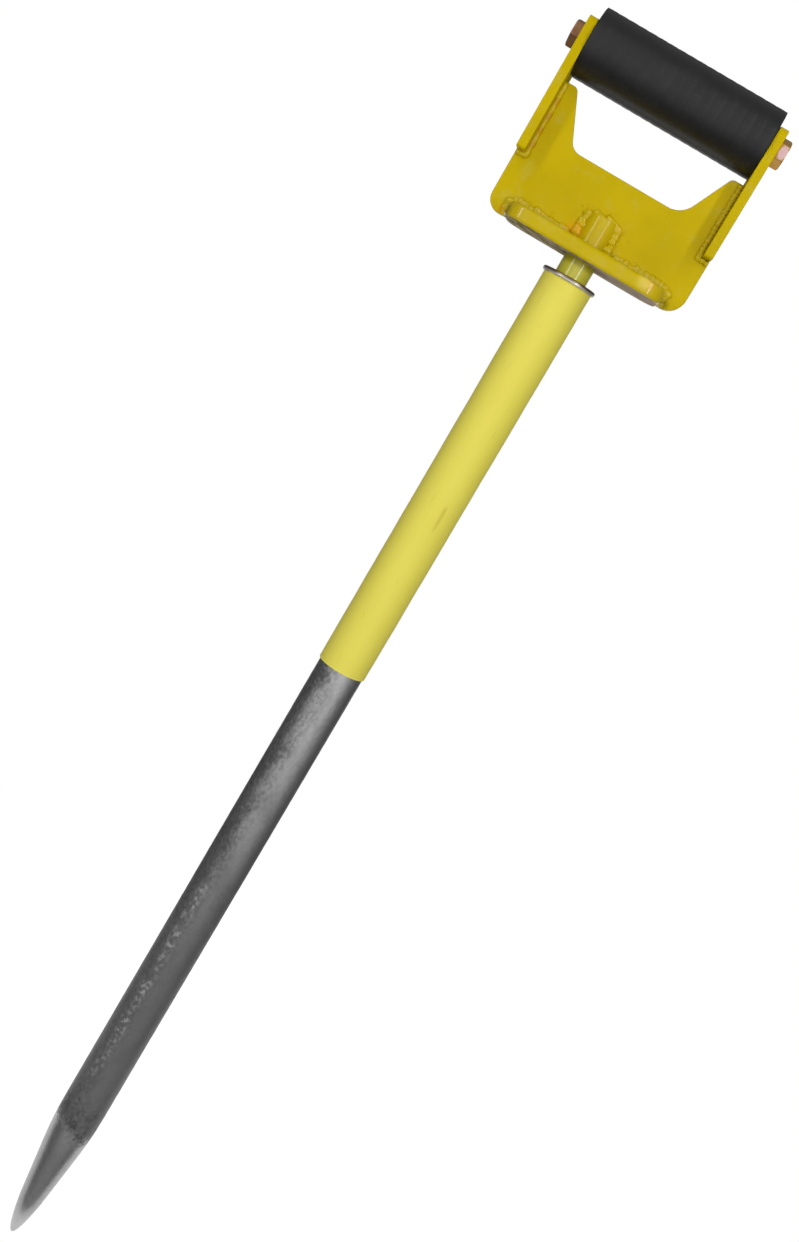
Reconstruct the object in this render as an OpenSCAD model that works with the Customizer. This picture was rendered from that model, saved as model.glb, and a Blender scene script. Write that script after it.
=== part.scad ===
// Digging bar: a pointed round steel bar with a plastic hand sleeve and a welded D-handle.
// The handle swivels on the bar, and its rubber grip turns between the two side bars.
// Z runs up the bar from the tip of the point, X lies along the grip, and -Y is the front.

/* [Bar] */
// Diameter of the round steel bar
bar_d = 32; // [26:0.5:45]
// Length of the bar from the tip to its top face
bar_length = 771; // [600:1:1400]
// Length of the ground point
point_length = 113; // [80:1:160]
// Length of the curved shoulder between the point's cone and the full bar
shoulder_length = 36; // [20:1:44]
// How far the shoulder starts inside the bar's radius
shoulder_drop = 2; // [0.5:0.1:3]
// Length of the curved nose at the end of the point
nose_length = 30; // [15:1:32]
// Diameter where the nose meets the cone
nose_d = 17.3; // [8:0.1:20]

/* [Hand sleeve] */
// Length of the plastic sleeve, down from the top of the bar
sleeve_length = 290; // [150:1:450]
// Wall thickness of the sleeve
sleeve_wall = 1.35; // [0.8:0.05:3]
// Depth of the turned seat on the bar that carries the sleeve
seat_depth = 0.25; // [0.1:0.05:0.6]

/* [Swivel] */
// Diameter of the stem that shows above the washer
stem_d = 22; // [20:0.5:25]
// Diameter of the journal that turns inside the bar
journal_d = 18; // [14:0.5:19]
// Length of the journal below the top of the bar
journal_length = 60; // [50:1:100]
// Depth of free bore below the journal's end
bore_spare = 2; // [1:0.5:6]
// Radial running clearance of the journal and of the grip's bushes
running_clearance = 0.05; // [0.02:0.01:0.09]
// Diameter of the cross pin that keeps the stem in the bar
pin_d = 5; // [3:0.5:6]
// How far the cross pin's ends lie inside the sleeve's seat
pin_inset = 0.2; // [0.1:0.1:2]
// Depth of the cross pin below the top of the bar
pin_depth = 30; // [15:1:40]
// Clearance between the cross pin and the groove in the journal
groove_clearance = 0.3; // [0.2:0.05:0.6]

/* [Washer] */
// Outer diameter of the washer
washer_d = 37.5; // [32:0.5:45]
// Thickness of the washer
washer_t = 3; // [1.5:0.5:5]
// Radial clearance of the washer round the journal
washer_clearance = 0.5; // [0.3:0.1:0.9]

/* [Yoke plate] */
// Full width of the handle over its side bars
head_w = 140.5; // [126:0.5:160]
// Thickness of the yoke plate
plate_t = 8; // [6:0.5:12]
// Length of stem that shows between the washer and the base bar
neck_length = 12.5; // [6:0.5:40]
// Height of the shoulders that carry the side bars, above the plate's bottom edge
shoulder_h = 39.5; // [34:0.5:48]
// Height of the bottom of the hand opening, above the plate's bottom edge
opening_h = 55.5; // [50:0.5:60]
// Gap between the arm tips and the grip
arm_gap = 4.5; // [2:0.5:10]
// Width of the hand opening at its bottom
opening_low_w = 79; // [60:0.5:80]
// Width of each arm at its tip
arm_tip_w = 8.5; // [6:0.5:12]
// Corner radius at the bottom left of the hand opening
opening_left_r = 9; // [4:0.5:16]
// Corner radius at the bottom right of the hand opening
opening_right_r = 15; // [4:0.5:16]
// Corner radius of the arm tips
arm_tip_r = 4; // [1:0.5:4]
// Corner radius at the bottom left of the plate
plate_left_r = 9.5; // [4:0.5:12]
// Corner radius at the bottom right of the plate
plate_right_r = 12; // [4:0.5:12]
// Width of the plate's foot beside each end of the base bar
foot_w = 14; // [14:0.5:24]
// Radius of the small corners beside the base bar
notch_corner_r = 1.5; // [0.5:0.5:2]

/* [Base bar] */
// Depth of the base bar from front to back
base_depth = 59; // [45:1:80]
// Thickness of the base bar
base_t = 10; // [8:0.5:14]
// Corner radius of the base bar
base_corner_r = 14; // [4:0.5:20]
// Height of the stem above the base bar
stem_rise = 20; // [12:0.5:24]

/* [Side bars] */
// Thickness of the side bars
side_t = 6; // [5:0.5:8]
// Width of the side bars from front to back
side_w = 40; // [30:1:50]
// Corner radius at the top of the side bars
side_top_r = 5; // [1:0.5:12]
// Corner radius at the foot of the side bars
side_foot_r = 2; // [0.5:0.5:6]
// Distance of the bolt holes below the top of the side bars
bolt_drop = 11.5; // [11:0.5:20]

/* [Welds] */
// Leg of the beads on the side bars
side_weld = 5; // [3:0.5:6]
// Leg of the beads under the side bars' feet
foot_weld = 4; // [2:0.5:5]
// Leg of the beads along the base bar
base_weld = 5; // [3:0.5:6]
// Leg of the beads beside the stem
stem_weld = 5; // [3:0.5:6]
// Distance that each bead stops short of the edge it runs to
weld_margin = 2; // [1:0.5:4]

/* [Grip] */
// Height of the grip's axis above the plate's bottom edge
grip_h = 117; // [108:0.5:132]
// Outer diameter of the rubber grip
grip_d = 46; // [40:0.5:50]
// End clearance of the grip beside each side bar
grip_end_clearance = 0.3; // [0.2:0.1:1]
// Outer diameter of the tube under the rubber
tube_d = 30; // [28:0.5:36]
// Wall thickness of the tube
tube_wall = 2; // [1.5:0.5:2.5]
// Diameter of the core rod
core_d = 20; // [16:0.5:21]
// Length of each bush
bush_length = 15; // [8:1:30]

/* [Bolts] */
// Diameter of the grip bolts
bolt_d = 10; // [8:0.5:12]
// Length of the grip bolts under the head
bolt_length = 25; // [18:1:40]
// Size of the bolt heads across flats
bolt_flats = 17; // [15:0.5:19]
// Height of the bolt heads
bolt_head_h = 6.4; // [4:0.1:8]
// Clearance round the bolts in the side bars
bolt_clearance = 0.5; // [0.2:0.1:1]
// Depth of free thread beyond each bolt's end
thread_spare = 3; // [1:0.5:6]

/* [Hidden] */
$fn = 64;

// Overrun of every cut past the face that it opens
over = 1;
// Bevel on the turned ends of the rods and on the bolts' ends
end_bevel = 1;
// Height of the 30 degree crown on a bolt head
crown_h = 1;
// Tangent of the crown's 30 degree slope
crown_slope_share = tan(30);
// Shape of the nose: its radius grows with this power of the height
nose_power_share = 0.53;
nose_steps = 10;
// Shape of the shoulder: its drop fades with this power of the height
shoulder_power_share = 2;
shoulder_steps = 6;
arc_steps = 8;

bar_r = bar_d / 2;
seat_r = bar_r - seat_depth;
sleeve_z = bar_length - sleeve_length;
pin_z = bar_length - pin_depth;
pin_outer_x = journal_d / 2 + pin_d / 2;
pin_length = 2 * sqrt(pow(seat_r, 2) - pow(pin_outer_x, 2)) - 2 * pin_inset;
stem_z = bar_length + washer_t;
yoke_z = stem_z + neck_length;
base_top_z = yoke_z + base_t;
stem_top_z = base_top_z + stem_rise;
shoulder_z = yoke_z + shoulder_h;
opening_z = yoke_z + opening_h;
grip_z = yoke_z + grip_h;
arm_z = grip_z - grip_d / 2 - arm_gap;
side_length = grip_z + bolt_drop - shoulder_z;
head_x = head_w / 2;
side_x = head_x - side_t;
base_w = head_w - 2 * foot_w;
plate_y = plate_t / 2;
core_length = 2 * side_x;
grip_length = core_length - 2 * grip_end_clearance;
bush_d = tube_d - 2 * tube_wall;

// Points of a circular arc that rounds the corner between two straight edges
function unit(v) = v / norm(v);
function corner_arc(before, corner, after, r) =
  let (
    u = unit(before - corner),
    v = unit(after - corner),
    half = acos(u * v) / 2,
    centre = corner + unit(u + v) * r / sin(half),
    start = corner + u * r / tan(half) - centre,
    end = corner + v * r / tan(half) - centre,
    turn = cross(start, end) > 0 ? 1 : -1
  )
  [
    for (i = [0 : arc_steps])
      let (a = turn * (180 - 2 * half) * i / arc_steps)
      centre + [start.x * cos(a) - start.y * sin(a), start.x * sin(a) + start.y * cos(a)]
  ];

// Outline with each corner rounded by its own radius, where a radius of 0 stays sharp
function rounded(points, radii) =
  let (n = len(points))
  [
    for (i = [0 : n - 1])
      each radii[i] == 0
        ? [points[i]]
        : corner_arc(points[(i + n - 1) % n], points[i], points[(i + 1) % n], radii[i])
  ];

// Upright plate whose outline is drawn in X and Z, centred on y = 0
module upright_plate(thickness) {
  rotate([90, 0, 0])
    translate([0, 0, -thickness / 2])
      linear_extrude(thickness)
        children();
}

// Shape turned so that its own Z points along X, towards side -1 or 1
module along_x(side) {
  rotate([0, side * 90, 0])
    children();
}

module ring(outer_d, inner_d, height) {
  difference() {
    cylinder(d = outer_d, h = height);
    translate([0, 0, -over])
      cylinder(d = inner_d, h = height + 2 * over);
  }
}

// Rod with both ends bevelled
module bevelled_rod(d, length) {
  rotate_extrude()
    polygon([
      [0, 0], [d / 2 - end_bevel, 0], [d / 2, end_bevel],
      [d / 2, length - end_bevel], [d / 2 - end_bevel, length], [0, length]
    ]);
}

// Quarter-round weld bead along Z in the corner at the origin, in the quadrant of -X and -Y
module corner_bead(leg, length) {
  linear_extrude(length)
    intersection() {
      circle(r = leg);
      translate([-leg, -leg])
        square(leg);
    }
}

// The same bead along X, in the quadrant of -Y and -Z
module level_bead(leg, length) {
  rotate([90, 0, 90])
    corner_bead(leg, length);
}

// Mirror image towards side -1 or 1 of X, and face -1 (front) or 1 (rear) of Y
module towards(side, face) {
  mirror([side < 0 ? 1 : 0, 0, 0])
    mirror([0, face > 0 ? 1 : 0, 0])
      children();
}

// Round bar, ground to a point below, turned for the sleeve and bored for the stem's journal above
module digging_bar() {
  nose = [
    for (i = [1 : nose_steps])
      [nose_d / 2 * pow(i / nose_steps, nose_power_share), nose_length * i / nose_steps]
  ];
  shoulder = [
    for (i = [0 : shoulder_steps])
      let (left_share = 1 - i / shoulder_steps)
      [
        bar_r - shoulder_drop * pow(left_share, shoulder_power_share),
        point_length - shoulder_length * left_share
      ]
  ];
  profile = concat(
    [[0, 0]],
    nose,
    shoulder,
    [
      [bar_r, sleeve_z],
      [seat_r, sleeve_z],
      [seat_r, bar_length],
      [0, bar_length]
    ]
  );
  bore_depth = journal_length + bore_spare;
  color("dimgray")
    difference() {
      rotate_extrude()
        polygon(profile);
      translate([0, 0, bar_length - bore_depth])
        cylinder(r = journal_d / 2 + running_clearance, h = bore_depth + over);
      pin_place(bar_d);
    }
}

// Cross pin of a given length, level and tangent to the journal
module pin_place(length) {
  translate([journal_d / 2, length / 2, pin_z])
    rotate([90, 0, 0])
      cylinder(d = pin_d, h = length);
}

module hand_sleeve() {
  color("khaki")
    translate([0, 0, sleeve_z])
      ring(2 * (seat_r + sleeve_wall), 2 * seat_r, sleeve_length);
}

module stem_pin() {
  color("slategray")
    pin_place(pin_length);
}

module stem_washer() {
  color("silver")
    translate([0, 0, bar_length])
      ring(washer_d, journal_d + 2 * washer_clearance, washer_t);
}

// Stem with a shoulder on the washer and a grooved journal inside the bar
module head_stem() {
  journal_z = bar_length - journal_length;
  groove_r = pin_d / 2 + groove_clearance;
  color("goldenrod")
    difference() {
      union() {
        translate([0, 0, journal_z])
          bevelled_rod(journal_d, stem_z + end_bevel + over - journal_z);
        translate([0, 0, stem_z])
          cylinder(d = stem_d, h = stem_top_z - stem_z);
      }
      translate([0, 0, pin_z])
        rotate_extrude()
          translate([journal_d / 2, 0])
            circle(r = groove_r);
    }
}

// Flat bar with rounded corners and a hole for the stem
module base_bar() {
  x = base_w / 2;
  y = base_depth / 2;
  outline = [[x, y], [-x, y], [-x, -y], [x, -y]];
  r = base_corner_r;
  color("goldenrod")
    translate([0, 0, yoke_z])
      difference() {
        linear_extrude(base_t)
          polygon(rounded(outline, [r, r, r, r]));
        translate([0, 0, -over])
          cylinder(d = stem_d, h = base_t + 2 * over);
      }
}

// U-shaped plate with shoulders for the side bars, a notch for the base bar and a slot for the stem
module yoke_plate() {
  notch_x = base_w / 2;
  slot_x = stem_d / 2;
  low_x = opening_low_w / 2;
  high_x = side_x - arm_tip_w;
  corners = [
    [[notch_x, yoke_z], notch_corner_r],
    [[head_x, yoke_z], plate_right_r],
    [[head_x, shoulder_z], 0],
    [[side_x, shoulder_z], 0],
    [[side_x, arm_z], 0],
    [[high_x, arm_z], arm_tip_r],
    [[low_x, opening_z], opening_right_r],
    [[-low_x, opening_z], opening_left_r],
    [[-high_x, arm_z], arm_tip_r],
    [[-side_x, arm_z], 0],
    [[-side_x, shoulder_z], 0],
    [[-head_x, shoulder_z], 0],
    [[-head_x, yoke_z], plate_left_r],
    [[-notch_x, yoke_z], notch_corner_r],
    [[-notch_x, base_top_z], 0],
    [[-slot_x, base_top_z], 0],
    [[-slot_x, stem_top_z], 0],
    [[slot_x, stem_top_z], 0],
    [[slot_x, base_top_z], 0],
    [[notch_x, base_top_z], 0]
  ];
  points = [for (c = corners) c[0]];
  radii = [for (c = corners) c[1]];
  color("gold")
    upright_plate(plate_t)
      polygon(rounded(points, radii));
}

// Flat bar on one shoulder of the plate, drilled for the grip bolt
module side_bar(side) {
  y = side_w / 2;
  outline = [[y, 0], [y, side_length], [-y, side_length], [-y, 0]];
  radii = [side_foot_r, side_top_r, side_top_r, side_foot_r];
  color("gold")
    difference() {
      translate([side * (head_x + side_x) / 2, 0, shoulder_z])
        rotate([0, 0, 90])
          upright_plate(side_t)
            polygon(rounded(outline, radii));
      translate([side * (side_x - over), 0, grip_z])
        along_x(side)
          cylinder(r = bolt_d / 2 + bolt_clearance, h = side_t + 2 * over);
    }
}

module left_side_bar() {
  side_bar(-1);
}

module right_side_bar() {
  side_bar(1);
}

// Bead up the inner face of a side bar, and a short one under its foot
module side_bar_weld(side, face) {
  bead_length = arm_z - weld_margin - shoulder_z;
  color("khaki")
    towards(side, face) {
      translate([side_x, -plate_y, shoulder_z])
        corner_bead(side_weld, bead_length);
      translate([side_x, -plate_y, shoulder_z])
        level_bead(foot_weld, side_t);
    }
}

module left_bar_front_weld() {
  side_bar_weld(-1, -1);
}

module left_bar_rear_weld() {
  side_bar_weld(-1, 1);
}

module right_bar_front_weld() {
  side_bar_weld(1, -1);
}

module right_bar_rear_weld() {
  side_bar_weld(1, 1);
}

// Two beads along the top of the base bar, one on each side of the stem
module base_bar_weld(face) {
  first_x = stem_d / 2 + stem_weld + weld_margin;
  last_x = base_w / 2 - weld_margin;
  color("khaki")
    for (side = [-1, 1])
      towards(side, face)
        translate([first_x, -plate_y, base_top_z])
          mirror([0, 0, 1])
            level_bead(base_weld, last_x - first_x);
}

module base_front_weld() {
  base_bar_weld(-1);
}

module base_rear_weld() {
  base_bar_weld(1);
}

// Two upright beads that fill the corners between the stem and the plate
module stem_side_weld(face) {
  contact_x = sqrt(pow(stem_d / 2, 2) - pow(plate_y, 2));
  bead_height = stem_rise - weld_margin / 2;
  color("khaki")
    for (side = [-1, 1])
      towards(side, face)
        translate([0, 0, base_top_z])
          linear_extrude(bead_height)
            difference() {
              translate([contact_x, -plate_y])
                circle(r = stem_weld);
              circle(d = stem_d);
              translate([-head_x, -plate_y])
                square(head_w);
            }
}

module stem_front_weld() {
  stem_side_weld(-1);
}

module stem_rear_weld() {
  stem_side_weld(1);
}

// Rod between the side bars, tapped at both ends
module grip_core() {
  hole_depth = bolt_length - side_t + thread_spare;
  color("slategray")
    difference() {
      translate([-core_length / 2, 0, grip_z])
        along_x(1)
          bevelled_rod(core_d, core_length);
      for (side = [-1, 1])
        translate([side * (core_length / 2 + over), 0, grip_z])
          along_x(-side)
            cylinder(d = bolt_d, h = hole_depth + over);
    }
}

// Hexagon bolt whose head stands on the outer face of a side bar
module grip_bolt(side, head_turn) {
  corner_r = bolt_flats / 2 / cos(30);
  flat_r = bolt_flats / 2;
  crown_r = flat_r + crown_h / crown_slope_share;
  color("peru")
    translate([side * head_x, 0, grip_z])
      along_x(side) {
        rotate([0, 0, head_turn])
          intersection() {
            cylinder(r = corner_r, h = bolt_head_h, $fn = 6);
            rotate_extrude()
              polygon([
                [0, 0], [crown_r, 0], [crown_r, bolt_head_h - crown_h],
                [flat_r, bolt_head_h], [0, bolt_head_h]
              ]);
          }
        translate([0, 0, -bolt_length])
          bevelled_rod(bolt_d, bolt_length + end_bevel + over);
      }
}

// Turn of each bolt head, as left by the spanner
module left_grip_bolt() {
  grip_bolt(-1, 14);
}

module right_grip_bolt() {
  grip_bolt(1, 0);
}

module grip_tube() {
  color("slategray")
    translate([-grip_length / 2, 0, grip_z])
      along_x(1)
        ring(tube_d, bush_d, grip_length);
}

module grip_rubber() {
  color("#2b2b2b")
    translate([-grip_length / 2, 0, grip_z])
      along_x(1)
        ring(grip_d, tube_d, grip_length);
}

// Plain bush pressed into one end of the tube, running on the core
module grip_bush(side) {
  color("ivory")
    translate([side * (grip_length / 2 - bush_length), 0, grip_z])
      along_x(side)
        ring(bush_d, core_d + 2 * running_clearance, bush_length);
}

module left_grip_bush() {
  grip_bush(-1);
}

module right_grip_bush() {
  grip_bush(1);
}

digging_bar();
hand_sleeve();
stem_pin();
stem_washer();
head_stem();
base_bar();
yoke_plate();
left_side_bar();
right_side_bar();
left_bar_front_weld();
left_bar_rear_weld();
right_bar_front_weld();
right_bar_rear_weld();
base_front_weld();
base_rear_weld();
stem_front_weld();
stem_rear_weld();
grip_core();
left_grip_bolt();
right_grip_bolt();
grip_tube();
grip_rubber();
left_grip_bush();
right_grip_bush();
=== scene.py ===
import random
from math import ceil, copysign, cos, hypot, pi, radians, sin

import bpy
from mathutils import Matrix, Vector


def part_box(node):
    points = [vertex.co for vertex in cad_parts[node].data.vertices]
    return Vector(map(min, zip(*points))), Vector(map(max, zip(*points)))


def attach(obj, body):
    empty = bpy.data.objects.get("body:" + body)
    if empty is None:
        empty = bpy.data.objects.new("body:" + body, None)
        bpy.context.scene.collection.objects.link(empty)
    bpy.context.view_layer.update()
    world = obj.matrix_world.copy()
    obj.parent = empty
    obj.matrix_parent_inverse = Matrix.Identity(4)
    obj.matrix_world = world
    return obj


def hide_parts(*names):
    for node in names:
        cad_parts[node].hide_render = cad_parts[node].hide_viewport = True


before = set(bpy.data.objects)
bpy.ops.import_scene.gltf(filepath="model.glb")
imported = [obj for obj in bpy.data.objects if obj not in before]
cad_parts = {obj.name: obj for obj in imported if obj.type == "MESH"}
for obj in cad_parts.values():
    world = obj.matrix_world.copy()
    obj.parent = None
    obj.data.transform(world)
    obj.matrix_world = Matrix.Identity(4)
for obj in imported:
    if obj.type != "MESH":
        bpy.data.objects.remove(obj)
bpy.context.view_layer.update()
bpy.ops.object.select_all(action="DESELECT")

# Camera: the tool is seen from a metre away, at the height of its sleeve, with the picture rolled to a slant.
# The handle is turned a little on the bar, so the camera stands round the bar by that much.
camera_distance = 1.03779
camera_height = 0.71309
lens_mm = 46.151
sensor_mm = 36
head_turn = radians(-1.464)
look_down = radians(10.0983)
look_right = radians(0.9346)
picture_roll = radians(30.4021)

bpy.ops.object.camera_add()
camera = bpy.context.object
camera.data.sensor_width = sensor_mm
camera.data.lens = lens_mm
around = Matrix.Rotation(-head_turn, 4, "Z")
aim = (
    Matrix.Rotation(radians(90) - look_down, 4, "X")
    @ Matrix.Rotation(-look_right, 4, "Y")
    @ Matrix.Rotation(picture_roll, 4, "Z")
)
camera.matrix_world = around @ Matrix.Translation((0, -camera_distance, camera_height)) @ aim
bpy.context.scene.camera = camera


# Digging bar: round steel with its rolling skin on, drawn to a point and ground bright along both flanks.
# It is turned down a little where the sleeve sits, and bored at the top for the journal of the handle.
mm = 0.001
bar_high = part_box("digging_bar")[1]
sleeve_low, sleeve_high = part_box("hand_sleeve")
bar_r = bar_high.x
seat_r = bar_r - 0.25 * mm
bore_r = 9.05 * mm
bore_floor = bar_high.z - 62 * mm
nose_r = 8.65 * mm
nose_top = 30 * mm
nose_power = 0.53
nose_rings = 24
shoulder_drop = 2 * mm
shoulder_low = 77 * mm
shoulder_high = 113 * mm
shoulder_rings = 12
ring_step = 3 * mm
pit_size, pit_depth = 5 * mm, 0.22 * mm
skin_from_r = bar_r - 0.4 * mm


def turned(name, section, sides=96):
    """Draws a half section of (radius, height) points and spins it round the Z axis, as on a lathe."""
    bpy.ops.object.select_all(action="DESELECT")
    bpy.ops.mesh.primitive_plane_add()
    piece = bpy.context.object
    piece.name = piece.data.name = name
    bpy.ops.object.mode_set(mode="EDIT")
    bpy.ops.mesh.merge(type="CENTER")
    bpy.ops.transform.translate(value=(section[0][0], 0, section[0][1]))
    for (near_r, near_z), (far_r, far_z) in zip(section, section[1:]):
        step = (far_r - near_r, 0, far_z - near_z)
        bpy.ops.mesh.extrude_region_move(TRANSFORM_OT_translate={"value": step})
    bpy.ops.mesh.select_all(action="SELECT")
    bpy.ops.mesh.spin(steps=sides, angle=2 * pi, center=(0, 0, 0), axis=(0, 0, 1))
    bpy.ops.mesh.select_all(action="SELECT")
    bpy.ops.mesh.remove_doubles(threshold=0.003 * mm)
    bpy.ops.mesh.normals_make_consistent(inside=False)
    bpy.ops.object.mode_set(mode="OBJECT")
    return piece


def finely(section, longest):
    """Puts more points into the straight stretches, so that no step is longer than this."""
    fine = [section[0]]
    for (near_r, near_z), (far_r, far_z) in zip(section, section[1:]):
        count = ceil(hypot(far_r - near_r, far_z - near_z) / longest)
        for i in range(1, count + 1):
            fine.append((near_r + (far_r - near_r) * i / count, near_z + (far_z - near_z) * i / count))
    return fine


def select_only(piece):
    """Makes one piece the selected and active object."""
    bpy.ops.object.select_all(action="DESELECT")
    piece.select_set(True)
    bpy.context.view_layer.objects.active = piece


def modify(piece, kind, **settings):
    """Adds a modifier with these settings and applies it."""
    select_only(piece)
    bpy.ops.object.modifier_add(type=kind)
    modifier = piece.modifiers[-1]
    for name, value in settings.items():
        setattr(modifier, name, value)
    bpy.ops.object.modifier_apply(modifier=modifier.name)


def smooth(piece, angle=35):
    """Shades the faces smooth up to this angle in degrees, with flat faces kept flat."""
    select_only(piece)
    bpy.ops.object.shade_smooth_by_angle(angle=radians(angle))
    modify(piece, "WEIGHTED_NORMAL", keep_sharp=True)


def group_of(piece, name, belongs):
    """Makes a vertex group of the points for which belongs(point) is true."""
    select_only(piece)
    group = piece.vertex_groups.new(name=name)
    group.add([v.index for v in piece.data.vertices if belongs(v.co)], 1.0, "REPLACE")
    return group.name


def clouds(name, size, depth=2):
    """Noise for a Displace modifier, with lumps of this size."""
    texture = bpy.data.textures.new(name, type="CLOUDS")
    texture.noise_scale = size
    texture.noise_depth = depth
    return texture


class Field:
    """A value over a surface: one output of a shader tree's node, with Python's operators on it."""

    def __init__(self, tree, socket=None):
        self.tree = tree
        self.socket = socket

    def node(self, kind, settings=None, inputs=None, output=None):
        """Adds a node of this type, sets it up, then gives its sockets their values or links."""
        made = self.tree.nodes.new("ShaderNode" + kind)
        for name, value in (settings or {}).items():
            setattr(made, name, value)
        for name, value in (inputs or {}).items():
            socket = next(s for s in made.inputs if name in (s.identifier, s.name))
            if isinstance(value, Field):
                self.tree.links.new(value.socket, socket)
            else:
                socket.default_value = value
        outputs = [s for s in made.outputs if output in (None, s.identifier, s.name)]
        return Field(self.tree, outputs[0] if outputs else None)

    def maths(self, operation, first, second=0.0):
        return self.node("Math", {"operation": operation}, {"Value": first, "Value_001": second})

    def __add__(self, other):
        return self.maths("ADD", self, other)

    def __radd__(self, other):
        return self.maths("ADD", other, self)

    def __sub__(self, other):
        return self.maths("SUBTRACT", self, other)

    def __rsub__(self, other):
        return self.maths("SUBTRACT", other, self)

    def __mul__(self, other):
        return self.maths("MULTIPLY", self, other)

    def __rmul__(self, other):
        return self.maths("MULTIPLY", other, self)

    def __truediv__(self, other):
        return self.maths("DIVIDE", self, other)

    def __pow__(self, other):
        return self.maths("POWER", self, other)

    def __abs__(self):
        return self.maths("ABSOLUTE", self)

    def most(self, other):
        return self.maths("MAXIMUM", self, other)

    def rise(self, low, high):
        """Goes smoothly from 0 at low to 1 at high, which may lie either way round."""
        limits = {"Value": self, "From Min": low, "From Max": high}
        return self.node("MapRange", {"interpolation_type": "SMOOTHSTEP"}, limits)

    def between(self, under, over):
        """Colour that goes from under to over as this value goes from 0 to 1."""
        inputs = {"Factor_Float": self, "A_Color": under, "B_Color": over}
        return self.node("Mix", {"data_type": "RGBA"}, inputs, "Result_Color")

    def axes(self):
        """The three numbers of a vector."""
        return [self.node("SeparateXYZ", inputs={"Vector": self}, output=axis) for axis in "XYZ"]

    def noise(self, size, detail=3.0, stretch=None):
        """Noise from 0 to 1 at this place, with lumps of this size, drawn out along Z if asked."""
        place = self
        if stretch:
            scale = (1, 1, 1 / stretch)
            place = self.node("Mapping", inputs={"Vector": self, "Scale": scale})
        inputs = {"Vector": place, "Scale": 1 / size, "Detail": detail}
        return self.node("TexNoise", inputs=inputs)

    def bump(self, depth):
        """Normal of a surface whose height is this value times depth."""
        return self.node("Bump", inputs={"Height": self, "Distance": depth, "Strength": 1.0})

    def ray(self, kind):
        """1 for the light paths of this kind, such as Camera, and 0 for the others."""
        return self.node("LightPath", output=f"Is {kind} Ray")

    def surface(self, inputs):
        """Closes a material with these values on its shader."""
        shader = self.node("BsdfPrincipled", inputs=inputs)
        self.node("OutputMaterial", inputs={"Surface": shader})


def new_finish(name):
    """An empty material, and the place on the piece that its patterns follow."""
    material = bpy.data.materials.new(name)
    material.use_nodes = True
    material.node_tree.nodes.clear()
    place = Field(material.node_tree).node("TexCoord", output="Object")
    return material, place


def display(red, green, blue):
    """Colour given as it shows on a screen, from 0 to 255."""
    def linear(value):
        share = value / 255
        return share / 12.92 if share <= 0.04045 else ((share + 0.055) / 1.055) ** 2.4
    return linear(red), linear(green), linear(blue), 1.0


nose_shares = [(i / nose_rings) ** 1.8 for i in range(nose_rings + 1)]
bar_section = [(nose_r * share ** nose_power, nose_top * share) for share in nose_shares]
drop_shares = [1 - i / shoulder_rings for i in range(shoulder_rings + 1)]
shoulder = [
    (bar_r - shoulder_drop * share ** 2, shoulder_high + (shoulder_low - shoulder_high) * share)
    for share in drop_shares
]
bar_section += finely([bar_section[-1], shoulder[0]], ring_step)[1:] + shoulder[1:]
bar_section += finely(
    [
        bar_section[-1],
        (bar_r, sleeve_low.z),
        (seat_r, sleeve_low.z),
        (seat_r, bar_high.z),
        (bore_r, bar_high.z),
        (bore_r, bore_floor),
    ],
    ring_step,
)[1:]
bar_section.append((0, bore_floor))
bar = turned("bar_rolled_and_pointed", bar_section)
rolled = group_of(bar, "rolled_skin", lambda p: hypot(p.x, p.y) > skin_from_r and p.z < sleeve_low.z)
pits = clouds("rolled_pits", pit_size)
modify(bar, "DISPLACE", texture=pits, texture_coords="LOCAL", vertex_group=rolled, strength=pit_depth)
smooth(bar)

bar_finish, place = new_finish("mill_scale_steel")
x, y, z = place.axes()
blotches = place.noise(14 * mm, 5.0, 2.0)
flakes = place.noise(2.2 * mm, 4.0, 1.4)
specks = place.noise(0.8 * mm, 3.0)
grit = place.noise(3.2 * mm, 5.0)
# Painted light: the scale gets lighter and more metallic towards the sleeve, standing in for the sheen that
# fades down the bar.
painted_light_up = z.rise(160 * mm, 520 * mm)
ragged_edge = z + (blotches - 0.5) * (28 * mm) + (flakes - 0.5) * (16 * mm) + x * 0.4
ground = ragged_edge.rise(104 * mm, 95 * mm)
soot = ragged_edge.rise(132 * mm, 116 * mm) * ragged_edge.rise(97 * mm, 108 * mm) * blotches.rise(0.42, 0.60)
# Painted highlight: a lighter, bumpier streak on the front, left of the middle, where the left lamp's
# highlight falls.
scrape_and_highlight = abs(x + 0.32 * bar_r + (blotches - 0.5) * (9 * mm)).rise(5 * mm, 1 * mm) * y.rise(0.0, -0.5 * bar_r)
scrape_and_highlight = scrape_and_highlight * grit.rise(0.44, 0.62) * blotches.rise(0.40, 0.56) * z.rise(100 * mm, 200 * mm)
scale_colour = (painted_light_up ** 1.6).between(display(100, 100, 101), display(205, 205, 206))
# The flakes darken the left side more, as painted shade.
mottle_and_left_shade = 0.12 + x.rise(0.3 * bar_r, -0.3 * bar_r) * 0.3
scale_colour = (flakes.rise(0.62, 0.38) * mottle_and_left_shade + blotches.rise(0.55, 0.35) * 0.2).between(
    scale_colour, display(70, 70, 72)
)
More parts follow.
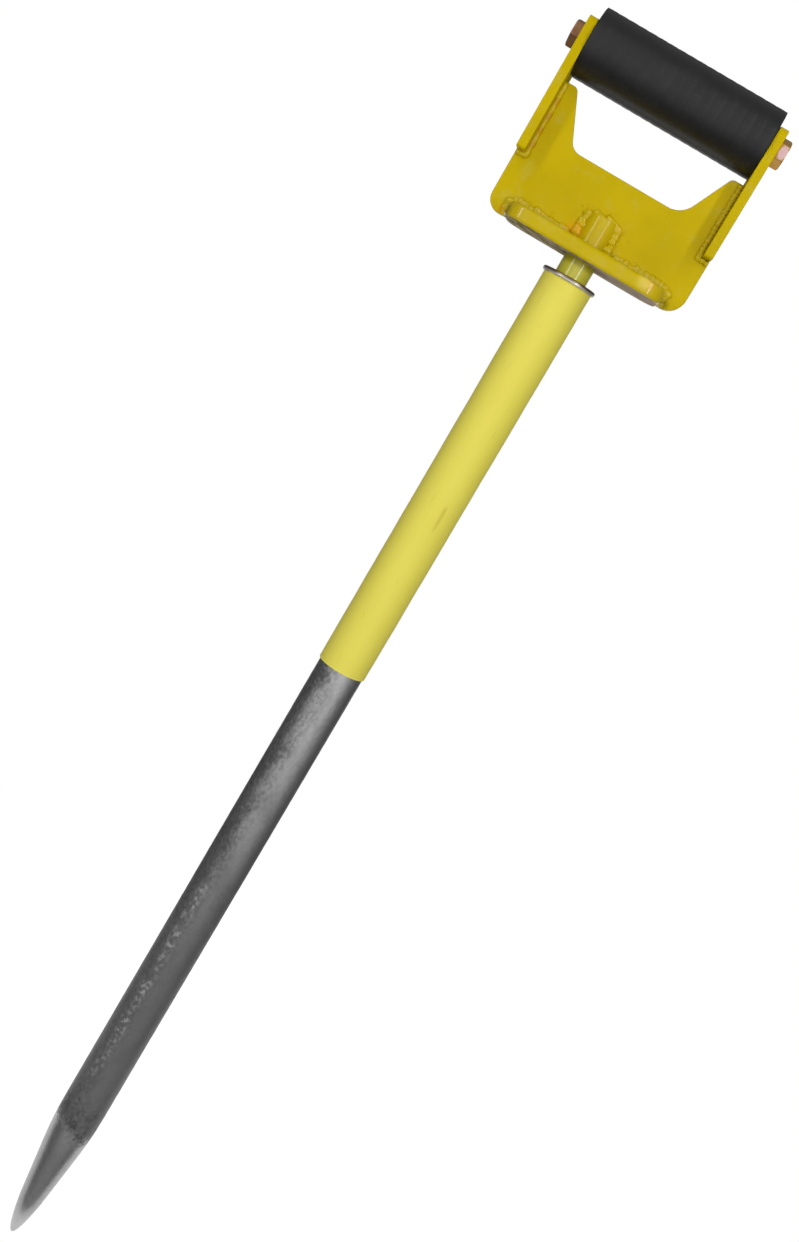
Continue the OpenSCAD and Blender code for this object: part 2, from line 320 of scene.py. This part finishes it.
# Painted shade: above 220 mm the left side, with a ragged edge, and the right edge of the bar are darker.
ragged_side = (grit - 0.5) * (26 * mm) + (flakes - 0.5) * (12 * mm) - x
left_side_shade = ragged_side.rise(0.2 * bar_r, 0.75 * bar_r)
right_side_shade = x.rise(0.5 * bar_r, 0.95 * bar_r)
painted_side_shade = left_side_shade.most(right_side_shade) * z.rise(220 * mm, 340 * mm)
scale_colour = (painted_side_shade * 0.55).between(scale_colour, display(76, 76, 78))
scale_colour = (scrape_and_highlight * 0.4).between(scale_colour, display(206, 206, 207))
scale_colour = (soot * grit.rise(0.62, 0.45) * 0.9).between(scale_colour, display(54, 53, 54))
ground_colour = place.noise(1.1 * mm, 3.0, 8.0).between(display(158, 158, 159), display(168, 168, 168))
ground_colour = z.rise(30 * mm, 8 * mm).between(ground_colour, display(186, 186, 186))
height = flakes * 0.45 + specks * 0.3 + blotches * 0.15 + scrape_and_highlight * 0.3
place.surface({
    "Base Color": ground.between(scale_colour, ground_colour),
    "Metallic": (painted_light_up ** 0.8 * (0.8 + flakes * 0.2)).most(ground * 0.95),
    "Roughness": 0.44 + (flakes - 0.5) * 0.3 - ground * 0.12,
    "Normal": (height * (1 - ground * 0.9)).bump(0.35 * mm),
    "Specular IOR Level": 0.5,
})
bar.data.materials.append(bar_finish)
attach(bar, "shaft")
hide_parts("digging_bar")


# Hand sleeve: pale yellow plastic tube, shrunk on to the bar's seat up to its top.
# Its lower end is rolled to a small lip, and the wall lies uneven over the steel, with one short crease.
lip_r = 0.5 * mm
arc_steps = 5
sag_size, sag_depth = 22 * mm, 0.3 * mm
crease_depth = 0.3 * mm
crease_x, crease_w = 6.4 * mm, 1.3 * mm
crease_low, crease_high = 594 * mm, 608 * mm


def ring_section(inner_r, outer_r, low, high, edge_r, step):
    """Closed half section of a ring whose two outer edges are rounded."""
    turns = [i / arc_steps * pi / 2 for i in range(arc_steps + 1)]
    foot = [(outer_r - edge_r * (1 - sin(a)), low + edge_r * (1 - cos(a))) for a in turns]
    head = [(outer_r - edge_r * (1 - cos(a)), high - edge_r * (1 - sin(a))) for a in turns]
    body = finely([foot[-1], head[0]], step)
    return [(inner_r, low)] + foot + body[1:] + head[1:] + [(inner_r, high), (inner_r, low)]


sleeve_r = sleeve_high.x
sleeve = turned(
    "sleeve_shrunk_tube", ring_section(seat_r, sleeve_r, sleeve_low.z, sleeve_high.z, lip_r, ring_step)
)
tube_wall = group_of(sleeve, "tube_wall", lambda p: hypot(p.x, p.y) > seat_r + lip_r)
sags = clouds("sleeve_sags", sag_size, 1)
modify(sleeve, "DISPLACE", texture=sags, texture_coords="LOCAL", vertex_group=tube_wall, strength=sag_depth)
creased = group_of(
    sleeve,
    "creased",
    lambda p: p.y < -seat_r and abs(p.x - crease_x) < crease_w and crease_low < p.z < crease_high,
)
modify(sleeve, "DISPLACE", vertex_group=creased, mid_level=0, strength=-crease_depth)
smooth(sleeve)

sleeve_finish, place = new_finish("sleeve_plastic")
x, y, z = place.axes()
tone = place.noise(35 * mm, 3.0, 3.0)
scuffs = place.noise(2.2 * mm, 4.0, 5.0)
lemon = tone.between(display(222, 209, 74), display(233, 222, 96))
lemon = (scuffs.rise(0.64, 0.78) * 0.35).between(lemon, display(205, 186, 60))
# Painted shade darkens the crease.
crease_shade = abs(x - crease_x + (tone - 0.5) * (5 * mm)).rise(1.8 * mm, 0.2 * mm) * y.rise(0.0, -0.5 * sleeve_r)
crease_shade = crease_shade * z.rise(crease_low - 5 * mm, crease_low + 5 * mm) * z.rise(crease_high + 5 * mm, crease_high)
lemon = (crease_shade * 0.5).between(lemon, display(186, 168, 50))
lip = z.rise(sleeve_low.z + 1.6 * mm, sleeve_low.z)
place.surface({
    "Base Color": (lip * 0.6).between(lemon, display(240, 233, 120)),
    "Roughness": 0.48 + (scuffs - 0.5) * 0.2,
    "Normal": (tone + scuffs * 0.12).bump(0.25 * mm),
    "Specular IOR Level": 0.3,
})
sleeve.data.materials.append(sleeve_finish)
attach(sleeve, "shaft")
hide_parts("hand_sleeve")


# Cross pin: drawn steel dowel through the bar, under the sleeve.
# It lies in the groove of the journal and keeps the handle from pulling out.
turned_finish, place = new_finish("turned_steel")
tool_marks = place.noise(0.5 * mm, 2.0, 0.3)
place.surface({
    "Base Color": tool_marks.between(display(128, 128, 130), display(168, 168, 168)),
    "Metallic": 1.0,
    "Roughness": 0.3 + tool_marks * 0.2,
    "Normal": tool_marks.bump(0.05 * mm),
})
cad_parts["stem_pin"].material_slots[0].material = turned_finish


# Thrust washer: stamped steel with zinc plate gone dull, loose on the journal.
# It lies on top of the bar and sleeve, and the shoulder of the stem turns on it.
washer_low, washer_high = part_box("stem_washer")
washer_hole_r = 9.5 * mm
washer_edge_r = 1.1 * mm

washer = turned(
    "washer_stamped",
    ring_section(washer_hole_r, washer_high.x, washer_low.z, washer_high.z, washer_edge_r, ring_step),
)
smooth(washer)

washer_finish, place = new_finish("zinc_plate")
z = place.axes()[2]
tarnish = place.noise(5 * mm, 4.0)
grain = place.noise(0.6 * mm, 2.0)
brown = tarnish.rise(0.4, 0.65).between(display(156, 141, 120), display(128, 107, 80))
# Painted highlight: the lower edge of the rim is near white, for the glint on it.
edge_glint = z.rise(washer_low.z + 1.7 * mm, washer_low.z + 1.0 * mm)
place.surface({
    "Base Color": edge_glint.between(brown, display(236, 232, 226)),
    "Metallic": 0.9,
    "Roughness": 0.3 + tarnish * 0.15,
    "Normal": grain.bump(0.05 * mm),
})
washer.data.materials.append(washer_finish)
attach(washer, "shaft")
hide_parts("stem_washer")


# Stem: turned steel rod with a shoulder on the washer and a grooved journal inside the bar.
# It goes up through the base bar into the plate's slot, and is painted where it shows.
stem_low, stem_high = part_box("head_stem")
stem_r = stem_high.x
journal_r = 9 * mm
journal_bevel = 1 * mm
groove_z = bar_high.z - 30 * mm
groove_r = 2.8 * mm
groove_steps = 8
stem_edge = 0.5 * mm
base_low, base_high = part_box("base_bar")
plate_low, plate_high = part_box("yoke_plate")

groove_turns = [pi * i / groove_steps for i in range(groove_steps + 1)]
stem_section = [
    (0, stem_low.z),
    (journal_r - journal_bevel, stem_low.z),
    (journal_r, stem_low.z + journal_bevel),
    *((journal_r - groove_r * sin(a), groove_z - groove_r * cos(a)) for a in groove_turns),
    (journal_r, washer_high.z),
    (stem_r - stem_edge, washer_high.z),
    (stem_r, washer_high.z + stem_edge),
    (stem_r, stem_high.z - stem_edge),
    (stem_r - stem_edge, stem_high.z),
    (0, stem_high.z),
]
stem = turned("stem_turned", stem_section)
smooth(stem)


# The orange patches are stains at the welds. The straw patch on the base bar's front is a painted highlight,
# and the olive patches at both ends of the base bar are painted shade.
orange, straw_highlight, olive_shade = display(216, 156, 0), display(244, 222, 110), display(118, 106, 0)
stains_and_painted_light = [
    ((-stem_r - 3 * mm, plate_low.y - 2 * mm, base_high.z + 5 * mm), 8 * mm, 0.6, orange),
    ((stem_r + 1 * mm, plate_low.y - 2 * mm, stem_high.z - 1 * mm), 5 * mm, 0.2, orange),
    ((base_high.x - 11 * mm, base_low.y + 1 * mm, base_high.z - 3 * mm), 5 * mm, 0.55, orange),
    ((base_high.x - 15 * mm, base_low.y + 1 * mm, base_high.z - 3 * mm), 7 * mm, 0.4, straw_highlight),
    ((base_high.x + 3 * mm, plate_low.y - 2 * mm, base_low.z + 3 * mm), 5 * mm, 0.6, olive_shade),
    ((base_low.x - 3 * mm, plate_low.y, base_low.z + 3 * mm), 5 * mm, 0.5, orange),
    ((base_low.x + 2 * mm, base_low.y + 10 * mm, base_low.z + 3 * mm), 8 * mm, 0.7, olive_shade),
]


def painted(name, bare_below, shine=0.05, roughness=0.24, dry_within=-1 * mm, stains_and_light=stains_and_painted_light):
    """Yellow paint with stains at the welds, painted shade in its crevices, and painted shade and light on
    the neck. It is bare below a height, and dry near the middle.

    A stain is its centre, its reach, its strength and its colour; some stains are painted highlight or
    painted shade.
    """
    material, place = new_finish(name)
    x, y, z = place.axes()
    tone = place.noise(28 * mm, 3.0)
    drift = place.noise(7 * mm, 3.0)
    peel = place.noise(3.0 * mm, 1.0)
    mustard = tone.rise(0.3, 0.7).between(display(190, 166, 0), display(198, 173, 0))
    mustard = (drift.rise(0.58, 0.8) * 0.5).between(mustard, display(180, 161, 0))
    mustard = (place.noise(11 * mm, 4.0).rise(0.56, 0.72) * 0.4).between(mustard, display(196, 178, 60))
    # Below the base bar the neck is darkened just under it as painted shade, and is lighter and greener
    # further down as painted light.
    mustard = z.rise(base_low.z + 0.2 * mm, base_low.z - 0.5 * mm).between(mustard, display(156, 146, 0))
    mustard = z.rise(base_low.z - 1 * mm, base_low.z - 6 * mm).between(mustard, display(208, 200, 58))
    for centre, reach, strength, colour in stains_and_light:
        ends = {"Vector": place, "Vector_001": centre}
        offset = place.node("VectorMath", {"operation": "DISTANCE"}, ends, "Value")
        mark = (offset + (drift - 0.5) * (0.9 * reach)).rise(reach, 0.25 * reach) * strength
        mustard = mark.between(mustard, colour)
    # Painted shade: crevices darken to olive, most on the right side bar.
    open_sky = place.node("AmbientOcclusion", {"samples": 16}, {"Distance": 2 * mm}, "AO")
    crevice_shade = 0.12 + x.rise(40 * mm, 60 * mm) * 0.55
    mustard = (open_sky.rise(0.70, 0.25) * crevice_shade).between(mustard, display(122, 110, 0))
    bare = (z + (drift - 0.5) * (0.5 * mm)).rise(bare_below + 0.3 * mm, bare_below)
    dry = abs(x).rise(dry_within + 0.6 * mm, dry_within + 0.2 * mm)
    rust = place.noise(9 * mm, 4.0)
    steel = rust.rise(0.35, 0.7).between(display(186, 170, 154), display(160, 144, 126))
    # Overspray on the left of the underside is coloured dark olive, as yellow paint in painted shade.
    overspray_in_shade = drift.rise(0.52, 0.42) * x.rise(16 * mm, -8 * mm)
    steel = overspray_in_shade.between(steel, display(118, 110, 24))
    neck = z.rise(base_low.z, base_low.z - 1 * mm)
    base_end = abs(x).rise(38 * mm, 46 * mm) * abs(y).rise(8 * mm, 14 * mm)
    base_end = base_end * z.rise(base_high.z + 6 * mm, base_high.z)
    place.surface({
        "Base Color": bare.between(mustard, steel),
        "Roughness": (roughness + (drift - 0.5) * 0.08).most(bare * 0.95).most(dry * 0.9),
        "Normal": (peel * 0.10 + drift * 0.35 + tone * 0.6).bump(0.16 * mm),
        "Specular IOR Level": shine,
        "Coat Weight": neck.most(base_end) * (1 - bare) * 0.8,
        "Coat Roughness": 0.16,
    })
    return material


stem.data.materials.append(painted("stem_paint", washer_high.z, shine=0.32, roughness=0.2))
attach(stem, "head")
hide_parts("head_stem")


# Base bar: short thick flat bar with rounded corners, drilled for the stem and welded under the plate.
# Its underside missed most of the paint, and shows bare steel with some overspray, coloured as yellow paint
# in painted shade.
rim_r = 2.2 * mm


def copied(node, name):
    """Copies a node's mesh with its triangles merged into whole faces."""
    piece = bpy.data.objects.new(name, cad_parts[node].data.copy())
    piece.data.name = name
    piece.data.materials.clear()
    bpy.context.scene.collection.objects.link(piece)
    select_only(piece)
    bpy.ops.object.mode_set(mode="EDIT")
    bpy.ops.mesh.select_all(action="SELECT")
    bpy.ops.mesh.remove_doubles(threshold=0.003 * mm)
    bpy.ops.mesh.dissolve_limited(angle_limit=radians(0.5))
    bpy.ops.object.mode_set(mode="OBJECT")
    return piece


def rim_rounded(piece, belongs, width, segments=4):
    """Rounds only those sharp edges whose two points pass belongs(point)."""
    select_only(piece)
    bpy.ops.object.mode_set(mode="EDIT")
    bpy.ops.mesh.select_mode(type="EDGE")
    bpy.ops.mesh.select_all(action="DESELECT")
    bpy.ops.mesh.edges_select_sharp(sharpness=radians(40))
    bpy.ops.object.mode_set(mode="OBJECT")
    points = piece.data.vertices
    for edge in piece.data.edges:
        edge.select = edge.select and all(belongs(points[i].co) for i in edge.vertices)
    bpy.ops.object.mode_set(mode="EDIT")
    bpy.ops.mesh.bevel(offset=width, segments=segments)
    bpy.ops.mesh.select_mode(type="VERT")
    bpy.ops.object.mode_set(mode="OBJECT")


base = copied("base_bar", "base_bar_flat")
rim_rounded(base, lambda p: hypot(p.x, p.y) > stem_r + 1 * mm, rim_r)
smooth(base)
base.data.materials.append(painted("base_bar_paint", base_low.z, shine=0.13))
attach(base, "head")
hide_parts("base_bar")


# Yoke plate: U-shaped plate cut from steel, with a notch for the base bar and shoulders for the side bars.
# It stands on edge across the base bar and carries both arms of the handle.
plate_edge = 0.7 * mm
no_bare = plate_low.z - 1 * mm


def bevelled(piece, width, segments=3):
    """Rounds the sharp edges of a piece and smooths its curves."""
    modify(piece, "BEVEL", width=width, segments=segments, limit_method="ANGLE", angle_limit=radians(40))
    smooth(piece)


plate = copied("yoke_plate", "yoke_plate_cut")
bevelled(plate, plate_edge)
plate.data.materials.append(painted("plate_paint", no_bare))
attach(plate, "head")
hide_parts("yoke_plate")


# Side bars: two flat bars, sawn and drilled, welded on the plate's shoulders.
# The grip's bolts go through their upper ends.
side_low, side_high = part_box("right_side_bar")
side_edge = 0.9 * mm
side_paint = painted("side_bar_paint", no_bare, dry_within=side_low.x)
for side in ("left", "right"):
    side_bar = copied(f"{side}_side_bar", f"{side}_side_bar_flat")
    bevelled(side_bar, side_edge)
    side_bar.data.materials.append(side_paint)
    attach(side_bar, "head")
    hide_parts(f"{side}_side_bar")


# Weld beads: laid by hand, drop over drop, in the corners between plate, side bars, base bar and stem.
# They were painted over together with the rest of the handle, with the spatter round them.
voxel = 0.4 * mm
sink = 0.5 * mm
skin_t = 1.6 * mm
skin_depth = 0.3 * mm
skirt = 1 * mm
edge_off = 0.4 * mm
spatter_least, spatter_most = 0.6 * mm, 1.0 * mm


def bead(name, runs, seed, drop_r, step, wander, melts, flat=1.0, spatter=0):
    """Lays overlapping drops along straight runs over a skin of the plate, and melts them into one bead."""
    dice = random.Random(seed)
    bpy.ops.object.select_all(action="DESELECT")
    bpy.ops.mesh.primitive_plane_add()
    piece = bpy.context.object
    piece.name = piece.data.name = name
    bpy.ops.object.mode_set(mode="EDIT")
    bpy.ops.mesh.delete(type="VERT")
    for start, end in runs:
        along = end - start
        lean = along.to_track_quat("Z", "Y").to_euler()
        count = max(2, round(along.length / step))
        for i in range(count + 1):
            size = drop_r * dice.uniform(1 - wander, 1 + wander)
            shift = Vector([dice.uniform(-wander, wander) * drop_r * 0.6 for axis in range(3)])
            bpy.ops.mesh.primitive_uv_sphere_add(
                segments=16,
                ring_count=10,
                radius=size,
                location=start + along * (i / count) + shift,
                rotation=(lean.x + dice.uniform(0.2, 0.5), lean.y, lean.z),
                scale=(1, 1, dice.uniform(0.66, 0.80)),
            )
        for i in range(spatter):
            place = start + along * dice.random()
            place.x += dice.uniform(-3, 3) * drop_r
            place.y = copysign(plate_high.y, start.y)
            place.z += dice.uniform(0, 2) * drop_r
            size = dice.uniform(spatter_least, spatter_most)
            bpy.ops.mesh.primitive_uv_sphere_add(segments=12, ring_count=8, radius=size, location=place)
        middle = (start + end) / 2
        middle.y = copysign(plate_high.y - skin_t / 2 - skin_depth, start.y)
        width, height = (abs(span) + 2 * (drop_r + skirt) for span in (along.x, along.z))
        bpy.ops.mesh.primitive_cube_add(size=1, location=middle, scale=(width, skin_t, height))
    bpy.ops.object.mode_set(mode="OBJECT")
    modify(piece, "REMESH", mode="VOXEL", voxel_size=voxel)
    modify(piece, "SMOOTH", factor=0.5, iterations=melts)
    bpy.ops.object.mode_set(mode="EDIT")
    bpy.ops.mesh.select_all(action="SELECT")
    plate_face = (0, copysign(plate_high.y, runs[0][0].y), 0)
    bpy.ops.transform.resize(value=(1, flat, 1), center_override=plate_face)
    bpy.ops.object.mode_set(mode="OBJECT")
    return piece


def cut(piece, point, away):
    """Cuts a piece flat at a plane, takes off the side that away points to and closes the cut."""
    select_only(piece)
    bpy.ops.object.mode_set(mode="EDIT")
    bpy.ops.mesh.select_all(action="SELECT")
    bpy.ops.mesh.bisect(plane_co=point, plane_no=away, use_fill=True, clear_outer=True)
    bpy.ops.object.mode_set(mode="OBJECT")


def mirrored(point, side, face):
    """Point given for the right front, on this side (-1 or 1) and face (-1 front or 1 rear)."""
    return Vector((point[0] * side, -point[1] * face, point[2]))


def lay(node, face, runs, **shape):
    """Makes a bead of the handle, cuts it off inside the plate's face and edges, paints it and fixes it."""
    piece = bead(f"{node}_bead", runs, **shape)
    cut(piece, (0, face * (plate_high.y - sink), 0), (0, -face, 0))
    cut(piece, (0, 0, plate_high.z - edge_off), (0, 0, 1))
    cut(piece, (0, 0, plate_low.z + edge_off), (0, 0, -1))
    cut(piece, (plate_high.x - edge_off, 0, 0), (1, 0, 0))
    cut(piece, (plate_low.x + edge_off, 0, 0), (-1, 0, 0))
    smooth(piece, 60)
    piece.data.materials.append(bead_paint)
    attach(piece, "head")
    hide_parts(node)


# Painted shade darkens the left beads to orange-brown along their length.
left_bead_shade = display(182, 128, 0)
left_bead_x = 2 * mm - side_low.x
bead_marks_and_shade = stains_and_painted_light + [
    ((left_bead_x, plate_low.y - 2 * mm, side_low.z + rise * mm), 5 * mm, 0.6, left_bead_shade)
    for rise in (6, 16, 26, 36)
]
bead_paint = painted("bead_paint", no_bare, shine=0.35, stains_and_light=bead_marks_and_shade)
left_shape = {"drop_r": 2.4 * mm, "step": 1.3 * mm, "wander": 0.08, "melts": 12}
right_shape = {"drop_r": 2.3 * mm, "step": 2.9 * mm, "wander": 0.10, "melts": 2, "flat": 0.8}
base_shape = {"drop_r": 3.4 * mm, "step": 3.6 * mm, "wander": 0.24, "melts": 6, "flat": 0.55, "spatter": 5}
stem_shape = {"drop_r": 2.9 * mm, "step": 2.5 * mm, "wander": 0.32, "melts": 5, "flat": 0.6, "spatter": 8}
side_names = {-1: "left", 1: "right"}
face_names = {-1: "front", 1: "rear"}
rope_y = plate_low.y - 1.5 * mm
end_x = base_high.x + 0.6 * mm
boss_x = stem_r + 0.6 * mm

for seed, (side, face) in enumerate([(-1, -1), (-1, 1), (1, -1), (1, 1)], 1):
    off, shape = (0.8 * mm, left_shape) if side < 0 else (1.6 * mm, right_shape)
    top = (side_low.x - off, plate_low.y - off, plate_high.z - 2.5 * mm)
    corner = (side_low.x - off, plate_low.y - off, side_low.z - off)
    foot = (side_high.x - 1 * mm, plate_low.y - off, side_low.z - off)
    top, corner, foot = (mirrored(p, side, face) for p in (top, corner, foot))
    node = f"{side_names[side]}_bar_{face_names[face]}_weld"
    lay(node, face, [(top, corner), (corner, foot)], seed=seed, **shape)

for seed, face in ((11, -1), (12, 1)):
    base_runs, stem_runs = [], []
    for side in (-1, 1):
        inner = (stem_r + 7 * mm, rope_y, base_high.z + 1.8 * mm)
        outer = (base_high.x - 2 * mm, rope_y, base_high.z + 1.6 * mm)
        end = (end_x, rope_y, base_high.z - 1 * mm)
        end_foot = (end_x, rope_y, base_low.z + 1.5 * mm)
        inner, outer, end, end_foot = (mirrored(p, side, face) for p in (inner, outer, end, end_foot))
        base_runs += [(inner, outer), (end, end_foot)]

        low = (boss_x, rope_y, base_high.z + 1.5 * mm)
        high = (boss_x, rope_y, stem_high.z - 2.5 * mm)
        top = (2 * mm, rope_y - 1 * mm, stem_high.z - 0.5 * mm)
        low, high, top = (mirrored(p, side, face) for p in (low, high, top))
        stem_runs += [(low, high), (high, top)]
    lay(f"base_{face_names[face]}_weld", face, base_runs, seed=seed, **base_shape)
    lay(f"stem_{face_names[face]}_weld", face, stem_runs, seed=seed + 10, **stem_shape)


# Grip core: steel rod between the side bars, tapped at both ends for the bolts.
# The tube under the rubber turns round it on two bushes.
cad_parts["grip_core"].material_slots[0].material = turned_finish


# Grip bolts: forged hexagon bolts with yellow zinc plate.
# One goes through each side bar into the end of the core, and stands as the spanner left it.
core_low, core_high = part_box("grip_core")
bolt_z = (core_low.z + core_high.z) / 2
bolt_voxel = 0.3 * mm
bolt_shrink = 0.04 * mm
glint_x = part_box("right_grip_bolt")[1].x - 2.8 * mm

bolt_finish, place = new_finish("yellow_zinc")
x, y, z = place.axes()
haze = place.noise(9 * mm, 1.0)
gold = haze.rise(0.35, 0.65).between(display(150, 108, 80), display(164, 124, 84))
# Painted light: the right bolt is coloured lighter and more golden than the left.
gold = x.rise(0.0, 60 * mm).between(gold, display(206, 160, 84))
# Painted highlight: a pale pink oval on the front facet of the right bolt's head.
glint_oval = ((x - glint_x) / (3.0 * mm)) ** 2 + ((z - bolt_z) / (5.4 * mm)) ** 2
facet_glint = glint_oval.rise(1.0, 0.4) * y.rise(-5 * mm, -7 * mm)
gold = (facet_glint * 0.85).between(gold, display(246, 208, 218))
place.surface({
    "Base Color": gold,
    "Metallic": 0.85,
    "Roughness": 0.28 + haze * 0.2,
    "Normal": place.noise(3 * mm, 1.0).bump(0.05 * mm),
})
for side in ("left", "right"):
    bolt = copied(f"{side}_grip_bolt", f"{side}_grip_bolt_forged")
    modify(bolt, "REMESH", mode="VOXEL", voxel_size=bolt_voxel)
    modify(bolt, "SMOOTH", factor=0.5, iterations=4)
    modify(bolt, "DISPLACE", mid_level=0, strength=-bolt_shrink)
    smooth(bolt)
    bolt.data.materials.append(bolt_finish)
    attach(bolt, "head")
    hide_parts(f"{side}_grip_bolt")


# Grip tube and bushes: thin steel tube with a plain plastic bush pressed into each end.
# They carry the rubber and run freely on the core.
bush_finish, place = new_finish("bush_plastic")
mould_tone = place.noise(3 * mm, 3.0)
place.surface({
    "Base Color": mould_tone.between(display(214, 208, 192), display(228, 224, 210)),
    "Roughness": 0.45 + mould_tone * 0.1,
    "Normal": mould_tone.bump(0.05 * mm),
})
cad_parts["grip_tube"].material_slots[0].material = turned_finish
for side in ("left", "right"):
    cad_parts[f"{side}_grip_bush"].material_slots[0].material = bush_finish


# Grip rubber: length of thick black hose, cut square and pushed over the tube.
# Wrapping tape left faint bands round it when the hose was cured.
rubber_low, rubber_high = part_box("grip_rubber")
rubber_r = (rubber_high.z - rubber_low.z) / 2
rubber_bore_r = 15 * mm
rubber_edge = 0.5 * mm
rubber_step = 0.7 * mm
band_pitch = 7 * mm
band_depth = 0.13 * mm

grip_z = (rubber_low.z + rubber_high.z) / 2


def banded(r, along):
    """Point of the hose's section, sunk a little under the tape's turns if it lies on the outside."""
    if r > rubber_r - 0.01 * mm:
        r -= band_depth * (0.5 + 0.5 * cos(2 * pi * along / band_pitch)) ** 3
    return r, along


hose = ring_section(rubber_bore_r, rubber_r, rubber_low.x, rubber_high.x, rubber_edge, rubber_step)
rubber = turned("grip_rubber_hose", [banded(r, along) for r, along in hose])
bpy.ops.object.mode_set(mode="EDIT")
bpy.ops.mesh.select_all(action="SELECT")
bpy.ops.transform.rotate(value=pi / 2, orient_axis="Y", center_override=(0, 0, 0))
bpy.ops.transform.translate(value=(0, 0, grip_z))
bpy.ops.object.mode_set(mode="OBJECT")
smooth(rubber)

rubber_finish, place = new_finish("black_rubber")
bloom = place.noise(9 * mm, 4.0)
pores = place.noise(0.9 * mm, 3.0)
place.surface({
    "Base Color": bloom.rise(0.3, 0.7).between(display(20, 20, 21), display(25, 25, 26)),
    "Roughness": 0.40 + (bloom - 0.5) * 0.10,
    "Normal": (pores * 0.3 + bloom * 0.4).bump(0.05 * mm),
    "Specular IOR Level": 0.5,
})
rubber.data.materials.append(rubber_finish)
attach(rubber, "grip")
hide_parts("grip_rubber")


# Floor: pale round board just under the point, which fades out into the white backdrop.
# It shows white to the camera and in reflections, and keeps a soft shadow of the tool.
floor_r = 0.42
floor_y = 0.395
floor_z = -0.5 * mm

bpy.ops.object.select_all(action="DESELECT")
floor_middle = (0, floor_y, floor_z)
bpy.ops.mesh.primitive_circle_add(vertices=96, radius=floor_r, fill_type="NGON", location=floor_middle)
floor = bpy.context.object
floor.name = floor.data.name = "studio_floor"
bpy.ops.object.transform_apply(location=True)

floor_finish, place = new_finish("pale_floor")
x, y = place.axes()[:2]
rim = ((x * x + (y - floor_y) * (y - floor_y)) ** 0.5).rise(0.98 * floor_r, 0.8 * floor_r)
seen = place.ray("Camera") + place.ray("Glossy") + place.ray("Transmission")
board = place.node("BsdfDiffuse", inputs={"Color": display(235, 235, 233)})
white = place.node("Emission", inputs={"Color": (1, 1, 1, 1), "Strength": 1 + rim * 0.30})
layers = {"Fac": seen * (1 - rim * 0.35), "Shader": board, "Shader_001": white}
mixed = place.node("MixShader", inputs=layers)
place.node("OutputMaterial", inputs={"Surface": mixed})
floor.data.materials.append(floor_finish)


# Light: a tall narrow soft box on each side in front, and broad screens in front, behind and overhead.
# Reflections show the white backdrop behind the tool, a lit room in front of it and dark sides and floor.
head_middle = Vector((0, 0, 0.85))


def soft_box(name, azimuth, elevation, distance, width, height, watts, mirrored_too=True):
    """Area lamp on a sphere round the handle, aimed at it. Azimuth 0 is the camera's side."""
    turn, rise = radians(azimuth), radians(elevation)
    away = Vector((sin(turn) * cos(rise), -cos(turn) * cos(rise), sin(rise)))
    bpy.ops.object.light_add(type="AREA", location=head_middle + away * distance)
    lamp = bpy.context.object
    lamp.name = lamp.data.name = name
    lamp.rotation_euler = away.to_track_quat("Z", "Y").to_euler()
    lamp.data.shape = "RECTANGLE"
    lamp.data.size = width
    lamp.data.size_y = height
    lamp.data.energy = watts
    lamp.visible_glossy = mirrored_too


soft_box("left_strip", -40, 20, 1.7, width=0.16, height=2.0, watts=8)
soft_box("right_strip", 34, 20, 1.7, width=0.16, height=2.0, watts=9)
soft_box("front_screen", 6, -2, 1.8, width=1.0, height=1.0, watts=12, mirrored_too=False)
soft_box("rear_screen", 184, 12, 1.8, width=1.0, height=1.0, watts=12, mirrored_too=False)
soft_box("top_screen", 180, 60, 1.7, width=0.9, height=0.6, watts=6, mirrored_too=False)

world = bpy.data.worlds.new("studio_room")
bpy.context.scene.world = world
world.use_nodes = True
world.node_tree.nodes.clear()
sky = Field(world.node_tree).node("TexCoord", output="Generated")
across, towards, up = sky.axes()
front = (across * 0.17 - towards * 0.98).rise(0.35, 0.97)
room = 0.05 + (0.05 + 0.54 * front) * up.rise(-0.80, -0.64) + 0.20 * up.rise(0.4, 0.9)
room = room + 0.10 * up.rise(-0.30, -0.60) * (1 - front)
backdrop = towards.rise(0.80, 0.92) * up.rise(-0.45, -0.25) * up.rise(0.14, 0.04)
mirror_light = room + (1 - room) * backdrop
fill_light = 0.20 + 0.36 * up.rise(0.0, -0.8) + 0.10 * up.rise(0.0, 1.0)
plain = sky.ray("Camera") + sky.ray("Transmission")
mirrored_ray = sky.ray("Glossy")
strength = plain + mirrored_ray * mirror_light + (1 - plain - mirrored_ray) * fill_light
white_room = sky.node("Background", inputs={"Color": (1, 1, 1, 1), "Strength": strength})
sky.node("OutputWorld", inputs={"Surface": white_room})
bpy.context.scene.view_settings.view_transform = "Standard"
